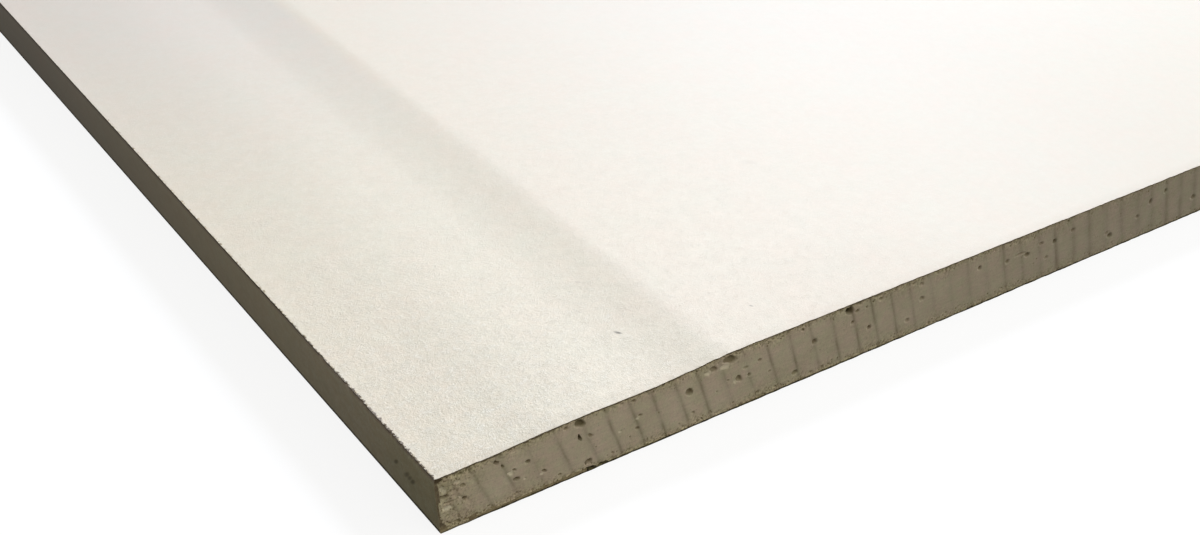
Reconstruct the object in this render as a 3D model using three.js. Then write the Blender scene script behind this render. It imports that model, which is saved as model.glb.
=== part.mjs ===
/**
 * Drywall sheet (gypsum board) with tapered long edges. Millimetres, +Z up.
 *
 * The sheet lies flat, face side up: X runs across its width, Y along its length, and the
 * origin is at the middle of its underside. It is three bonded pieces:
 *
 *   gypsum_core  the cast core, bare at both cut ends
 *   face_paper   covers the face, folds round both long edges and ends as a flange on the back
 *   back_paper   covers the back and laps over both flanges
 *
 * Every piece is one cross-section in the XZ plane, extruded along the sheet's length. The
 * three sections share their outlines, so the bonded faces meet exactly.
 */
import * as THREE from 'three';

// Sheet
const SHEET_WIDTH = 1219.2; // 4 ft, across the long edges at their top corners
const SHEET_LENGTH = 2438.4; // 8 ft, from one cut end to the other
const SHEET_THICKNESS = 12.7; // 1/2 in, between the tapered edges, papers included

// Papers
const FACE_PAPER = 0.34; // thickness
const BACK_PAPER = 0.32; // thickness
const FLANGE_WIDTH = 27.5; // face paper folded onto the back, from the long edge inwards
const BACK_PAPER_INSET = 6; // long edge to the nearest edge of the back paper
const LAP_RAMP = 2; // length over which the flange dips under the back paper

// Tapered long edge, from the crest outwards: a shoulder, a bed for the joint tape, a slope.
// Shoulder and slope each start at an angle and ease off to level. The straight run is the
// distance in which the fall would be complete at its starting angle.
const TAPER_WIDTH = 54.5; // long edge to the crest, where the full thickness starts
const SHOULDER_WIDTH = 16;
const SHOULDER_STRAIGHT_RUN = 12.5;
const BED_WIDTH = 16;
const BED_DEPTH = 0.95; // below the face
const SLOPE_STRAIGHT_RUN = 12.5;
const EDGE_DEPTH = 1.68; // below the face, where the slope ends at the long edge
const EDGE_LEAN = 1.5; // how far the long edge stands out more at its top than at its foot
const TOP_CORNER_RADIUS = 0.55;
const FOOT_CORNER_RADIUS = 0.45;

// Smoothness
const STEPS_PER_CURVE = 8;

const EDGE_X = SHEET_WIDTH / 2;
const CREST_X = EDGE_X - TAPER_WIDTH;
const BED_X = CREST_X + SHOULDER_WIDTH;
const SLOPE_X = BED_X + BED_WIDTH;
const FLANGE_END_X = EDGE_X - FLANGE_WIDTH;
const BACK_PAPER_X = EDGE_X - BACK_PAPER_INSET;

/** Carries the path down to a point: it leaves towards cornerX at that depth, and arrives level. */
function easeDown(path, cornerX, x, z) {
  path.quadraticCurveTo(cornerX, z, x, z);
}

/** Carries the path round a corner that turns clockwise, on an arc tangent to both its sides. */
function roundCorner(path, corner, next, radius) {
  const back = path.currentPoint.clone().sub(corner).normalize();
  const ahead = next.clone().sub(corner).normalize();
  const halfAngle = Math.acos(back.dot(ahead)) / 2;
  const toCentre = back.clone().add(ahead).normalize();
  const centre = corner.clone().addScaledVector(toCentre, radius / Math.sin(halfAngle));
  const reach = radius / Math.tan(halfAngle);
  const angleAt = (side) => {
    const tangentPoint = corner.clone().addScaledVector(side, reach);
    return tangentPoint.sub(centre).angle();
  };
  path.absarc(centre.x, centre.y, radius, angleAt(back), angleAt(ahead), true);
}

/**
 * Half of the wrapped outline, as points from the middle of the face, down the taper, round
 * the long edge and along the back to the end of the flange. At depth 0 it is the outer side
 * of the face paper, and at the paper's thickness it is the side glued to the core.
 */
function halfWrap(depth) {
  const faceZ = SHEET_THICKNESS - depth;
  const topEdge = new THREE.Vector2(EDGE_X - depth, faceZ - EDGE_DEPTH);
  const footEdge = new THREE.Vector2(EDGE_X - EDGE_LEAN - depth, depth);
  const lapStart = new THREE.Vector2(BACK_PAPER_X, depth);
  const lapZ = BACK_PAPER + depth;

  const path = new THREE.Path().moveTo(0, faceZ);
  path.lineTo(CREST_X, faceZ);
  easeDown(path, CREST_X + SHOULDER_STRAIGHT_RUN, BED_X, faceZ - BED_DEPTH);
  path.lineTo(SLOPE_X, faceZ - BED_DEPTH);
  easeDown(path, SLOPE_X + SLOPE_STRAIGHT_RUN, topEdge.x - TOP_CORNER_RADIUS, topEdge.y);
  roundCorner(path, topEdge, footEdge, TOP_CORNER_RADIUS - depth);
  roundCorner(path, footEdge, lapStart, FOOT_CORNER_RADIUS - depth);
  path.lineTo(lapStart.x, lapStart.y);
  path.lineTo(lapStart.x - LAP_RAMP, lapZ);
  path.lineTo(FLANGE_END_X, lapZ);
  return path.getPoints(STEPS_PER_CURVE);
}

/** The whole wrapped outline at a depth: from the end of the -X flange to that of the +X one. */
function wrapOutline(depth) {
  const right = halfWrap(depth).slice(1);
  const left = right.map((point) => new THREE.Vector2(-point.x, point.y)).reverse();
  return [...left, ...right];
}

/** A named piece with this outline, reaching from one cut end of the sheet to the other. */
function extrudePiece(name, outline, colour, roughness) {
  const section = new THREE.Shape(outline);
  const geometry = new THREE.ExtrudeGeometry(section, {
    depth: SHEET_LENGTH,
    bevelEnabled: false,
  });
  const material = new THREE.MeshStandardMaterial({ color: colour, roughness, metalness: 0 });
  const piece = new THREE.Mesh(geometry, material);
  piece.name = name;
  piece.rotation.x = Math.PI / 2;
  piece.position.y = SHEET_LENGTH / 2;
  return piece;
}

const wrapOutside = wrapOutline(0);
const wrapInside = wrapOutline(FACE_PAPER);

const facePaper = extrudePiece(
  'face_paper',
  [...wrapOutside, ...[...wrapInside].reverse()],
  0xe9e3d6,
  0.9,
);

const gypsumCore = extrudePiece(
  'gypsum_core',
  [
    ...wrapInside,
    new THREE.Vector2(FLANGE_END_X, BACK_PAPER),
    new THREE.Vector2(-FLANGE_END_X, BACK_PAPER),
  ],
  0xcabb9c,
  0.95,
);

const backPaper = extrudePiece(
  'back_paper',
  [
    new THREE.Vector2(-BACK_PAPER_X, 0),
    new THREE.Vector2(-BACK_PAPER_X + LAP_RAMP, BACK_PAPER),
    new THREE.Vector2(BACK_PAPER_X - LAP_RAMP, BACK_PAPER),
    new THREE.Vector2(BACK_PAPER_X, 0),
  ],
  0xa3957d,
  0.95,
);

const drywallSheet = new THREE.Group();
drywallSheet.name = 'drywall_sheet';
drywallSheet.add(gypsumCore, facePaper, backPaper);

export default drywallSheet;
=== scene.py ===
"""Looks of a drywall sheet that lies face up: gypsum core, face paper and back paper.

The papers are thin closed shells whose cut edges fray a little, and the core's two cut ends are
relief surfaces with saw marks, crumbled rims and air voids. All lengths are in metres, in the
sheet's own frame: X across the width, Y along the length, Z up, origin under the middle.
"""
import math

import bpy
import numpy as np
from mathutils import Matrix, Vector


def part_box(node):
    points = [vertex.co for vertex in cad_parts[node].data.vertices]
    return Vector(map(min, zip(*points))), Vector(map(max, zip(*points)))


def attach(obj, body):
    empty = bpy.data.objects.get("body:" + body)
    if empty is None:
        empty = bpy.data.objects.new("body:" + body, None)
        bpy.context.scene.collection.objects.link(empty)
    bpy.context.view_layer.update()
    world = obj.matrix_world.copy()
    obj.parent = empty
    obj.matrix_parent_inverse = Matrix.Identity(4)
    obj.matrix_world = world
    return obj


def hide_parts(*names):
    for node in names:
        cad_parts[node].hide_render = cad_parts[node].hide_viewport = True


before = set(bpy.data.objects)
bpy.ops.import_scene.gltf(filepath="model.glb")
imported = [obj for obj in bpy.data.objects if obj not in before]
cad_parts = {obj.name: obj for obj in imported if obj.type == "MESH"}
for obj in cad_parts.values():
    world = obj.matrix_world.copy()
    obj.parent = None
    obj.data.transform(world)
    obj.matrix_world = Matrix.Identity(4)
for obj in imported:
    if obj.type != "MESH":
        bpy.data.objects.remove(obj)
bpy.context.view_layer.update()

MM = 0.001

# ---- Sizes of the sheet ---------------------------------------------------------------------

SHEET_WIDTH = 1219.2 * MM  # across the long edges at their top corners
HALF_WIDTH = SHEET_WIDTH / 2
HALF_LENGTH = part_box("gypsum_core")[1].y
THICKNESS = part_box("face_paper")[1].z
HALF_THICKNESS = THICKNESS / 2

FACE_PAPER = 0.34 * MM
BACK_PAPER = 0.32 * MM
FLANGE_WIDTH = 27.5 * MM  # of the face paper on the back, in from the long edge
BACK_PAPER_INSET = 6 * MM  # of the back paper's edges from the long edges
LAP_RAMP = 2 * MM  # in which the flange rises to lie above the back paper

TAPER_WIDTH = 54.5 * MM
SHOULDER_WIDTH = 16 * MM
SHOULDER_STRAIGHT_RUN = 12.5 * MM
BED_WIDTH = 16 * MM
BED_DEPTH = 0.95 * MM
SLOPE_STRAIGHT_RUN = 12.5 * MM
SLOPE_BLUR = 6 * MM  # how far the slope's start is spread to either side
BLURRED_SLOPES = 7  # slopes of which the mean is taken
EDGE_DEPTH = 1.68 * MM  # of the face at the long edge, below its middle
EDGE_LEAN = 1.5 * MM  # how far the long edge leans out from its foot to its top
EDGE_BULGE = 0.05 * MM  # how far the long edge swells out between its two corners
TOP_CORNER_RADIUS = 0.55 * MM  # from the long edge to where the slope ends
INNER_RADIUS = 0.05 * MM  # of the glued side at both corners of the long edge
FOLD_RADIUS = 0.14 * MM  # of the paper's outer side at the top of the long edge
FOOT_RADIUS = 0.25 * MM

FOOT_X = HALF_WIDTH - EDGE_LEAN  # foot of the long edge, from the middle of the sheet
EDGE_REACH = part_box("face_paper")[1].x  # the long edge's furthest point
CREASE_Z = THICKNESS - EDGE_DEPTH  # height of the crease at the top of the long edge

# The stretch of the near cut end, from the left long edge, that gets the finest relief
FINE_WIDTH = 205 * MM


# ---- Random fields --------------------------------------------------------------------------


def smooth_noise(x, y, cell, seed):
    """Random heights from -1 to 1 that vary smoothly: seeded values on a square lattice with
    this cell size, blended by the fade 3t^2 - 2t^3 of the place t inside each cell."""
    table = np.random.default_rng(seed).uniform(-1, 1, (256, 256))
    u, v = np.broadcast_arrays(np.asarray(x) / cell, np.asarray(y) / cell)
    i, j = np.floor(u).astype(int), np.floor(v).astype(int)
    s, t = u - i, v - j
    s, t = s * s * (3 - 2 * s), t * t * (3 - 2 * t)
    i0, i1, j0, j1 = i % 256, (i + 1) % 256, j % 256, (j + 1) % 256
    near = table[i0, j0] * (1 - s) + table[i1, j0] * s
    far = table[i0, j1] * (1 - s) + table[i1, j1] * s
    return near * (1 - t) + far * t


def layered_noise(x, y, cell, seed, layers=3):
    """Sum of smooth noises, each with half the cell and half the height of the one before."""
    total = sum(smooth_noise(x, y, cell / 2**k, seed + k) / 2**k for k in range(layers))
    return total / (2 - 0.5 ** (layers - 1))


def ease(t):
    """Rises from 0 to 1 as t does, level at both ends: 3t^2 - 2t^3 of t held inside 0 to 1."""
    t = np.clip(t, 0, 1)
    return t * t * (3 - 2 * t)


def bell(distance, spread):
    """A bell curve: 1 at no distance, 1/e at the spread."""
    return np.exp(-((distance / spread) ** 2))


# ---- Cross-section --------------------------------------------------------------------------


def fall(distance, width, straight_run, depth):
    """Depth at a distance along a fall that starts at an angle and eases off to level. It is a
    quadratic curve whose middle control point lies at straight_run and the full depth, so its
    parameter s solves distance = 2 s (1 - s) straight_run + s^2 width."""
    bend = width - 2 * straight_run
    distance = np.clip(distance, 0, width)
    s = (np.sqrt(straight_run**2 + bend * distance) - straight_run) / bend
    return depth * (1 - (1 - s) ** 2)


def taper_drop(inset):
    """How far the face lies below its middle at this distance from the long edge: a shoulder,
    a level bed, and a slope down to the edge. The slope is the mean of several falls that start
    a little further in or out, so that it begins softly."""
    shoulder = fall(TAPER_WIDTH - inset, SHOULDER_WIDTH, SHOULDER_STRAIGHT_RUN, BED_DEPTH)
    bed_end = TAPER_WIDTH - SHOULDER_WIDTH - BED_WIDTH
    slopes = [
        fall(start - inset, start - TOP_CORNER_RADIUS, SLOPE_STRAIGHT_RUN, EDGE_DEPTH - BED_DEPTH)
        for start in bed_end + SLOPE_BLUR * np.linspace(-1, 1, BLURRED_SLOPES)
    ]
    return shoulder + sum(slopes) / len(slopes)


def corner_radius(radius, depth):
    """Radius of a rounded corner of the long edge this deep inside the paper: less by the
    depth, but never sharper than the glued side."""
    return max(radius - depth, INNER_RADIUS)


def long_edge_x(z, depth):
    """Distance of the long edge from the middle at height z, this deep inside the paper: a
    line that leans out to its top and swells a little, rounded by a quarter circle at both
    corners."""
    top, foot = CREASE_Z - depth, depth
    share = np.clip((z - foot) / (top - foot), 0, 1)
    line = FOOT_X - depth + EDGE_LEAN * share + 4 * EDGE_BULGE * share * (1 - share)
    bite = 0
    for outer_radius, reach in ((FOLD_RADIUS, top - z), (FOOT_RADIUS, z - foot)):
        radius = corner_radius(outer_radius, depth)
        inside = np.clip(1 - reach / radius, 0, 1)
        bite = bite + radius * (1 - np.sqrt(1 - inside**2))
    return np.minimum(line - bite, EDGE_REACH - depth)


def flange_z(inset, depth):
    """Height of the folded face paper on the back: level at the long edge, then a ramp up, and
    level again above the back paper."""
    return depth + BACK_PAPER * np.clip((inset - BACK_PAPER_INSET) / LAP_RAMP, 0, 1)


FOLD_RIM = np.array([3.0, 2.3, 1.7, 1.25, 0.9, 0.6, 0.4]) * MM  # last columns before the fold
SIDE_DROP = np.array([0.6, 0.9, 1.4, 2.2, 3.4]) * MM  # first columns below the fold
ARC_COLUMNS = 9  # over the rounded top of the long edge; its foot has half as many
LOW_SIDE_COLUMNS = 7  # from the last side drop to the foot's rounding

# Columns on the back: near the foot, over the ramp, and on to the flange's end
RAMP_INSETS = BACK_PAPER_INSET + LAP_RAMP * np.array([0, 0.5, 1])
BACK_INSETS = np.concatenate(([3 * MM, 4 * MM], RAMP_INSETS, [12 * MM, 18 * MM, FLANGE_WIDTH]))


def half_outline(depth, field_insets):
    """Half of the wrapped outline as (x, z) columns, from the middle of the face to the end of
    the flange. field_insets are distances from the long edge, for the part on the face."""
    insets = np.concatenate((field_insets, FOLD_RIM))
    x_face = HALF_WIDTH - insets
    z_face = THICKNESS - depth - taper_drop(insets)
    arc = 1 - np.cos(np.linspace(0, np.pi / 2, ARC_COLUMNS))
    z_edge = np.concatenate((
        CREASE_Z - depth - corner_radius(FOLD_RADIUS, depth) * arc,
        CREASE_Z - SIDE_DROP,
        np.linspace(CREASE_Z - SIDE_DROP[-1], FOOT_RADIUS, LOW_SIDE_COLUMNS)[1:-1],
        depth + corner_radius(FOOT_RADIUS, depth) * arc[::-2],
    ))
    x_edge = long_edge_x(z_edge, depth)
    x_back = HALF_WIDTH - BACK_INSETS
    z_back = flange_z(BACK_INSETS, depth)
    return np.concatenate((x_face, x_edge, x_back)), np.concatenate((z_face, z_edge, z_back))


def face_insets(field_pitch, taper_pitch, reach):
    """Distances from the long edge of the face's columns, from reach inwards: wide apart on
    the flat field and closer on the taper, from a little inside its crest on."""
    crest = TAPER_WIDTH + 3 * MM
    field = np.linspace(reach, crest, round((reach - crest) / field_pitch) + 1)
    taper = np.arange(crest - taper_pitch, FOLD_RIM[0] + taper_pitch / 2, -taper_pitch)
    return np.concatenate((field, taper))


# The face's columns, in two parts that meet at the end of the fine stretch
LEFT_INSETS = face_insets(2 * MM, 1.1 * MM, reach=FINE_WIDTH)
RIGHT_INSETS = face_insets(8 * MM, 2 * MM, reach=SHEET_WIDTH - FINE_WIDTH - 8 * MM)


def wrap_outline(depth):
    """The whole wrapped outline at a depth, from the left flange's end over the face to the
    right flange's end."""
    left_x, left_z = half_outline(depth, LEFT_INSETS)
    right_x, right_z = half_outline(depth, RIGHT_INSETS)
    return np.concatenate((-left_x[::-1], right_x)), np.concatenate((left_z[::-1], right_z))


# ---- Meshes ---------------------------------------------------------------------------------


def solid_from(name, vertices, faces, materials, material_of_face=None, sharp_angle=45):
    """A closed object from points and faces. Faces are turned outwards if the volume that they
    enclose comes out negative, and edges sharper than the angle stay sharp."""
    mesh = bpy.data.meshes.new(name)
    mesh.from_pydata(vertices.tolist(), [], [face for group in faces for face in group.tolist()])
    for material in materials:
        mesh.materials.append(material)
    if material_of_face is not None:
        mesh.polygons.foreach_set("material_index", material_of_face)
    if enclosed_volume(mesh) < 0:
        mesh.flip_normals()
    mesh.polygons.foreach_set("use_smooth", np.ones(len(mesh.polygons), bool))
    mesh.set_sharp_from_angle(angle=math.radians(sharp_angle))
    mesh.update()
    piece = bpy.data.objects.new(name, mesh)
    bpy.context.scene.collection.objects.link(piece)
    return piece


def enclosed_volume(mesh):
    """Signed volume of a closed mesh: a sixth of the sum of its triangles' triple products."""
    mesh.calc_loop_triangles()
    corners = np.empty(len(mesh.loop_triangles) * 3, np.int32)
    mesh.loop_triangles.foreach_get("vertices", corners)
    places = np.empty(len(mesh.vertices) * 3)
    mesh.vertices.foreach_get("co", places)
    a, b, c = places.reshape(-1, 3)[corners.reshape(-1, 3)].transpose(1, 0, 2)
    return float(np.einsum("ij,ij->", a, np.cross(b, c))) / 6


def set_attribute(piece, label, values):
    """Stores one number a vertex under this name, for the materials."""
    attribute = piece.data.attributes.new(label, "FLOAT", "POINT")
    attribute.data.foreach_set("value", np.ascontiguousarray(values, np.float32))


def grid_faces(index):
    """Quads between neighbouring rows and columns of a grid of vertex numbers."""
    return np.stack(
        (index[:-1, :-1], index[:-1, 1:], index[1:, 1:], index[1:, :-1]), axis=-1
    ).reshape(-1, 4)


def comb_faces(coarse, fine):
    """Faces between a coarse row and a fine row that has a whole number of steps for each
    coarse one: every face holds one coarse step and the fine steps beside it."""
    steps = (len(fine) - 1) // (len(coarse) - 1)
    parts = [coarse[:-1], coarse[1:]]
    parts += [fine[steps - k :: steps][: len(coarse) - 1] for k in range(steps + 1)]
    return np.stack(parts, axis=-1)


def refine(values, steps):
    """Values with this many even steps between each two neighbours."""
    places = np.arange((len(values) - 1) * steps + 1) / steps
    return np.interp(places, np.arange(len(values)), values)


class Shell:
    """Vertices and faces of one piece while it is put together, row by row."""

    def __init__(self):
        self.vertices, self.faces, self.kinds, self.count = [], [], [], 0

    def rows(self, x, y, z):
        """Adds a grid of points and gives back its vertex numbers."""
        x, y, z = np.broadcast_arrays(x, y, z)
        self.vertices.append(np.stack((x, y, z), axis=-1).reshape(-1, 3))
        index = self.count + np.arange(x.size).reshape(x.shape)
        self.count += x.size
        return index

    def skin(self, faces, kind=0):
        """Adds faces with the material of this number."""
        self.faces.append(faces)
        self.kinds.append(np.full(len(faces), kind))

    def solid(self, name, materials):
        """The finished object, without the points that no face uses."""
        used = np.unique(np.concatenate([faces.reshape(-1) for faces in self.faces]))
        renumber = np.zeros(self.count, int)
        renumber[used] = np.arange(len(used))
        faces = [renumber[faces] for faces in self.faces]
        vertices = np.concatenate(self.vertices)[used]
        return solid_from(name, vertices, faces, materials, np.concatenate(self.kinds))


# ---- Papers ---------------------------------------------------------------------------------

FRAY_STEPS = 5  # fine columns for each coarse one at a cut end
FRAY_ROWS = np.array([0, 0.14, 0.32, 0.6, 1.0, 1.6]) * MM  # distances from the cut end
FRAY_FADE = 0.45 * MM  # distance from the cut in which fraying falls to 1/e
CUT_WANDER = 0.10 * MM  # how far the cut edge strays along the sheet
CUT_SINK = 0.04 * MM  # how far the cut edge sinks into the paper's plane, on average
CUT_SWELL = 0.09 * MM  # how much the cut edge's thickness varies either way
CUT_HOLLOW = 0.05 * MM  # how far the cut edge is hollow in its middle, on average

FIRST_ROW = 2.4 * MM  # distance of the first coarse row from the cut end
NEAR_PITCH, NEAR_ROWS = 8 * MM, 8  # coarse rows of the stretch whose fold is ragged
MIDDLE_PITCH, MIDDLE_ROWS = 12 * MM, 24
FAR_ROWS = 33
FOLD_STEPS = 64  # fine rows for each coarse one along the ragged fold

RIPPLE_HEIGHT = 0.04 * MM
PRESS_DEPTH = 0.14 * MM  # of the face at the near left corner

MOST_WORN, WORN_FADE = 8 * MM, 54 * MM  # stretch of the most worn fold, and of its fading out
BLUNT_LENGTH, BLUNT_SPREAD = 11 * MM, 0.8 * MM  # along the fold and to either side of it
NOTCH_CELL, NOTCH_PATCH = 0.42 * MM, 2.3 * MM  # sizes along the fold
NOTCH_DOWN, NOTCH_INWARDS = 0.6 * MM, 0.3 * MM  # reach down the side and onto the face


def paper_rows():
    """Places along the sheet of a paper's rows between its two frayed ends: close together
    near the near end and then further and further apart."""
    near = FIRST_ROW + NEAR_PITCH * np.arange(NEAR_ROWS)
    middle = near[-1] + MIDDLE_PITCH * np.arange(1, MIDDLE_ROWS + 1)
    far = np.linspace(middle[-1], 2 * HALF_LENGTH - FIRST_ROW, FAR_ROWS + 1)[1:]
    return np.concatenate((near, middle, far)) - HALF_LENGTH


def ripple(x, y):
    """A slow unevenness of the face: layered noise, shifted so that it never rises above the
    face's plane, under a tenth of a millimetre deep and dying out at the sheet's outline."""
    inset, from_cut = HALF_WIDTH - np.abs(x), HALF_LENGTH - np.abs(y)
    within = ease(from_cut / (15 * MM)) * ease(inset / (8 * MM))
    return RIPPLE_HEIGHT * (layered_noise(x, y, 34 * MM, 5, 2) - 1) * within


def pressed(x, y):
    """How far the face is pressed in at the near left corner: fully up to 11 mm from the long
    edge and 20 mm from the cut end, and not at all beyond 20 mm and 60 mm."""
    inset, from_cut = HALF_WIDTH + x, HALF_LENGTH + y
    return PRESS_DEPTH * ease((20 * MM - inset) / (9 * MM)) * ease((60 * MM - from_cut) / (40 * MM))


def fold_push(y, travel, crease):
    """How far the paper stands back at the fold: next to the cut end it is blunt, with crisp
    notches that get shallower along the sheet. They are the crests of a fine noise, and they
    reach further down the side than onto the face, so that their walls stay steep."""
    from_cut = y + HALF_LENGTH
    worn = ease(1 - (from_cut - MOST_WORN) / WORN_FADE)
    blunt = 0.12 * ease(1 - from_cut / BLUNT_LENGTH) * bell(travel - crease, BLUNT_SPREAD)
    wave = layered_noise(y, travel * 0.3, NOTCH_CELL, 61, 2)
    notch = ease((wave + 0.4 * worn - 0.35) / 0.3)
    patchy = np.clip(0.85 + 0.5 * smooth_noise(y, 0, NOTCH_PATCH, 63), 0.5, 1.1)
    spread = np.where(travel < crease, NOTCH_DOWN, NOTCH_INWARDS)
    notch_depth = 0.10 + 0.17 * worn
    back = notch_depth * patchy * notch * bell(travel - crease, spread)
    return (back + blunt) * MM


def frayed_rim(shell, end, fine, travel, seed, thicker, crease):
    """Adds one frayed end of a paper and gives back its vertex numbers: the rows that run out
    to the cut, and the middle and inner row of the cut edge. The cut wanders along Y and sinks
    in by noise that fades away from it. Its middle is hollow, and its thickness varies."""
    x_out, z_out, x_in, z_in = fine
    outward = np.stack((x_out - x_in, z_out - z_in))
    outward /= np.maximum(np.hypot(*outward), 1e-9)
    low = (z_out > HALF_THICKNESS) * pressed(x_out, end * HALF_LENGTH)
    fade = np.exp(-FRAY_ROWS / FRAY_FADE)[:, None]
    fade[-1] = 0
    wander = CUT_WANDER * (layered_noise(travel, 0, 1.9 * MM, seed + end, 3) - 0.3)
    wander = np.minimum(wander, 0)
    sink = CUT_SINK * (1 - layered_noise(travel, 9, 1.3 * MM, seed + 10 + end, 2))
    sink = sink * (z_out > 1 * MM) * fade
    y = end * (HALF_LENGTH - FRAY_ROWS[:, None] + wander * fade)
    push = 0 if crease is None else fold_push(y, travel, crease)
    x = x_out - outward[0] * sink + push
    z = np.maximum(z_out - outward[1] * sink - low, 0)
    rows = shell.rows(x, y, z)

    thick = CUT_SWELL * layered_noise(travel, 5, 2.4 * MM, seed + 20 + end, 3) + thicker
    x_deep, z_deep = x_in - outward[0] * thick, z_in - outward[1] * thick - low
    share = 0.5 + 0.18 * layered_noise(travel, 3, 0.9 * MM, seed + 30 + end, 2)
    recess = CUT_HOLLOW * (1 + layered_noise(travel, 7, 0.7 * MM, seed + 40 + end, 2))
    middle = shell.rows(
        x[0] * (1 - share) + x_deep * share,
        end * (HALF_LENGTH + wander - recess),
        z[0] * (1 - share) + z_deep * share,
    )
    deep = shell.rows(x_deep, end * (HALF_LENGTH + wander - 1.6 * recess), z_deep)
    return rows, middle, deep


def paper_shell(name, outer, inner, seed, materials, thicker=0, fold=None):
    """A thin sheet of paper as a closed shell. outer and inner are its two outlines as (x, z)
    columns. Each is carried along the sheet, and ends in a frayed rim with finer columns.
    thicker is the extra thickness that the crushed cut edge shows, for each fine column. fold
    holds the first, last and middle column round a worn fold that gets fine rows near the
    near end."""
    (x_out, z_out), (x_in, z_in) = outer, inner
    fine = [refine(values, FRAY_STEPS) for values in (x_out, z_out, x_in, z_in)]
    travel = np.concatenate(([0], np.cumsum(np.hypot(np.diff(fine[0]), np.diff(fine[1])))))
    coarse_travel = travel[::FRAY_STEPS]
    rows = paper_rows()
    shell = Shell()

    def place_rows(columns, y):
        """Outer points of some columns at these places along the sheet, with all unevenness."""
        x, z = x_out[None, columns], z_out[None, columns]
        z = z + (z > HALF_THICKNESS) * (ripple(x, y) - pressed(x, y))
        if fold:
            worn = y < rows[NEAR_ROWS - 1] + 1e-6
            push = fold_push(y, coarse_travel[columns], coarse_travel[fold[2]]) * worn
            x = x + push * np.isin(columns, np.arange(fold[0] + 1, fold[1]))
        return shell.rows(x, y, z)

    outside = place_rows(np.arange(len(x_out)), rows[:, None])
    y_in = rows[[0, -1], None]
    z_inside = z_in[None, :] - (z_in > HALF_THICKNESS) * pressed(x_in[None, :], y_in)
    inside = shell.rows(x_in[None, :], y_in, z_inside)
    shell.skin(grid_faces(inside)[:, ::-1], 1)
    if fold:
        first, last, _ = fold
        within = np.arange(first + 1, last)
        between = place_rows(within, refine(rows[:NEAR_ROWS], FOLD_STEPS)[1:-1, None])
        ends = outside[[0, NEAR_ROWS - 1]][:, within]
        strip = np.concatenate((ends[:1], between, ends[1:]))
        shell.skin(grid_faces(strip))
        shell.skin(comb_faces(outside[:NEAR_ROWS, first], strip[:, 0])[:, ::-1])
        shell.skin(comb_faces(outside[:NEAR_ROWS, last], strip[:, -1]))
        shell.skin(grid_faces(outside[:, : first + 1]))
        shell.skin(grid_faces(outside[:, last:]))
        shell.skin(grid_faces(outside[NEAR_ROWS - 1 :, first : last + 1]))
    else:
        shell.skin(grid_faces(outside))

    rims = []
    for end, row in ((-1, 0), (1, -1)):
        crease = coarse_travel[fold[2]] if fold and end < 0 else None
        frayed, middle, deep = frayed_rim(shell, end, fine, travel, seed, thicker, crease)
        shell.skin(grid_faces(frayed)[:, ::-end])
        shell.skin(comb_faces(outside[row], frayed[-1])[:, ::-end])
        shell.skin(comb_faces(inside[row], deep)[:, ::end], 1)
        shell.skin(grid_faces(np.stack((frayed[0], middle)))[:, ::end], 1)
        shell.skin(grid_faces(np.stack((middle, deep)))[:, ::end], 1)
        rims.append((frayed, middle, deep))
    (near, near_middle, near_deep), (far, far_middle, far_deep) = rims
    for column, direction in ((0, 1), (-1, -1)):
        loop = np.concatenate((
            near[:, column],
            outside[:, column],
            far[::-1, column],
            far_middle[[column]],
            far_deep[[column]],
            inside[::-1, column],
            near_deep[[column]],
            near_middle[[column]],
        ))
        shell.skin(loop[None, ::direction], 1)
    return shell.solid(name, materials)


# ---- Core -----------------------------------------------------------------------------------

SAW_PITCH = 4.95 * MM
SAW_SLANT = 0.45  # millimetres across for each millimetre down

# Saw marks that stand out on the near cut end: distance from the foot of the left long edge
# at half height, in millimetres, and how strong each one is
NAMED_MARKS = (
    (1.2, 0.45), (2.6, 0.4), (6.4, 0.5), (11.0, 0.75), (15.7, 0.4), (20.9, 0.7), (25.8, 0.7),
    (30.3, 1.0), (34.8, 1.0), (39.2, 0.93), (43.9, 0.77), (48.4, 0.95), (53.3, 0.6),
    (58.2, 0.55), (63.3, 0.8), (68.1, 1.0), (72.9, 0.6), (77.9, 0.75), (82.8, 1.0),
    (87.4, 1.25), (92.2, 0.73), (96.9, 0.6), (102.2, 0.25), (107.0, 0.2), (111.9, 0.4),
    (116.9, 0.25), (121.9, 0.65), (126.8, 0.4), (132.0, 0.45), (136.9, 0.85), (142.2, 0.45),
    (147.2, 0.65), (152.6, 0.25), (157.5, 0.5), (162.9, 0.25), (167.5, 0.4), (172.7, 0.6),
    (177.6, 0.6), (182.4, 0.5),
)

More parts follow.
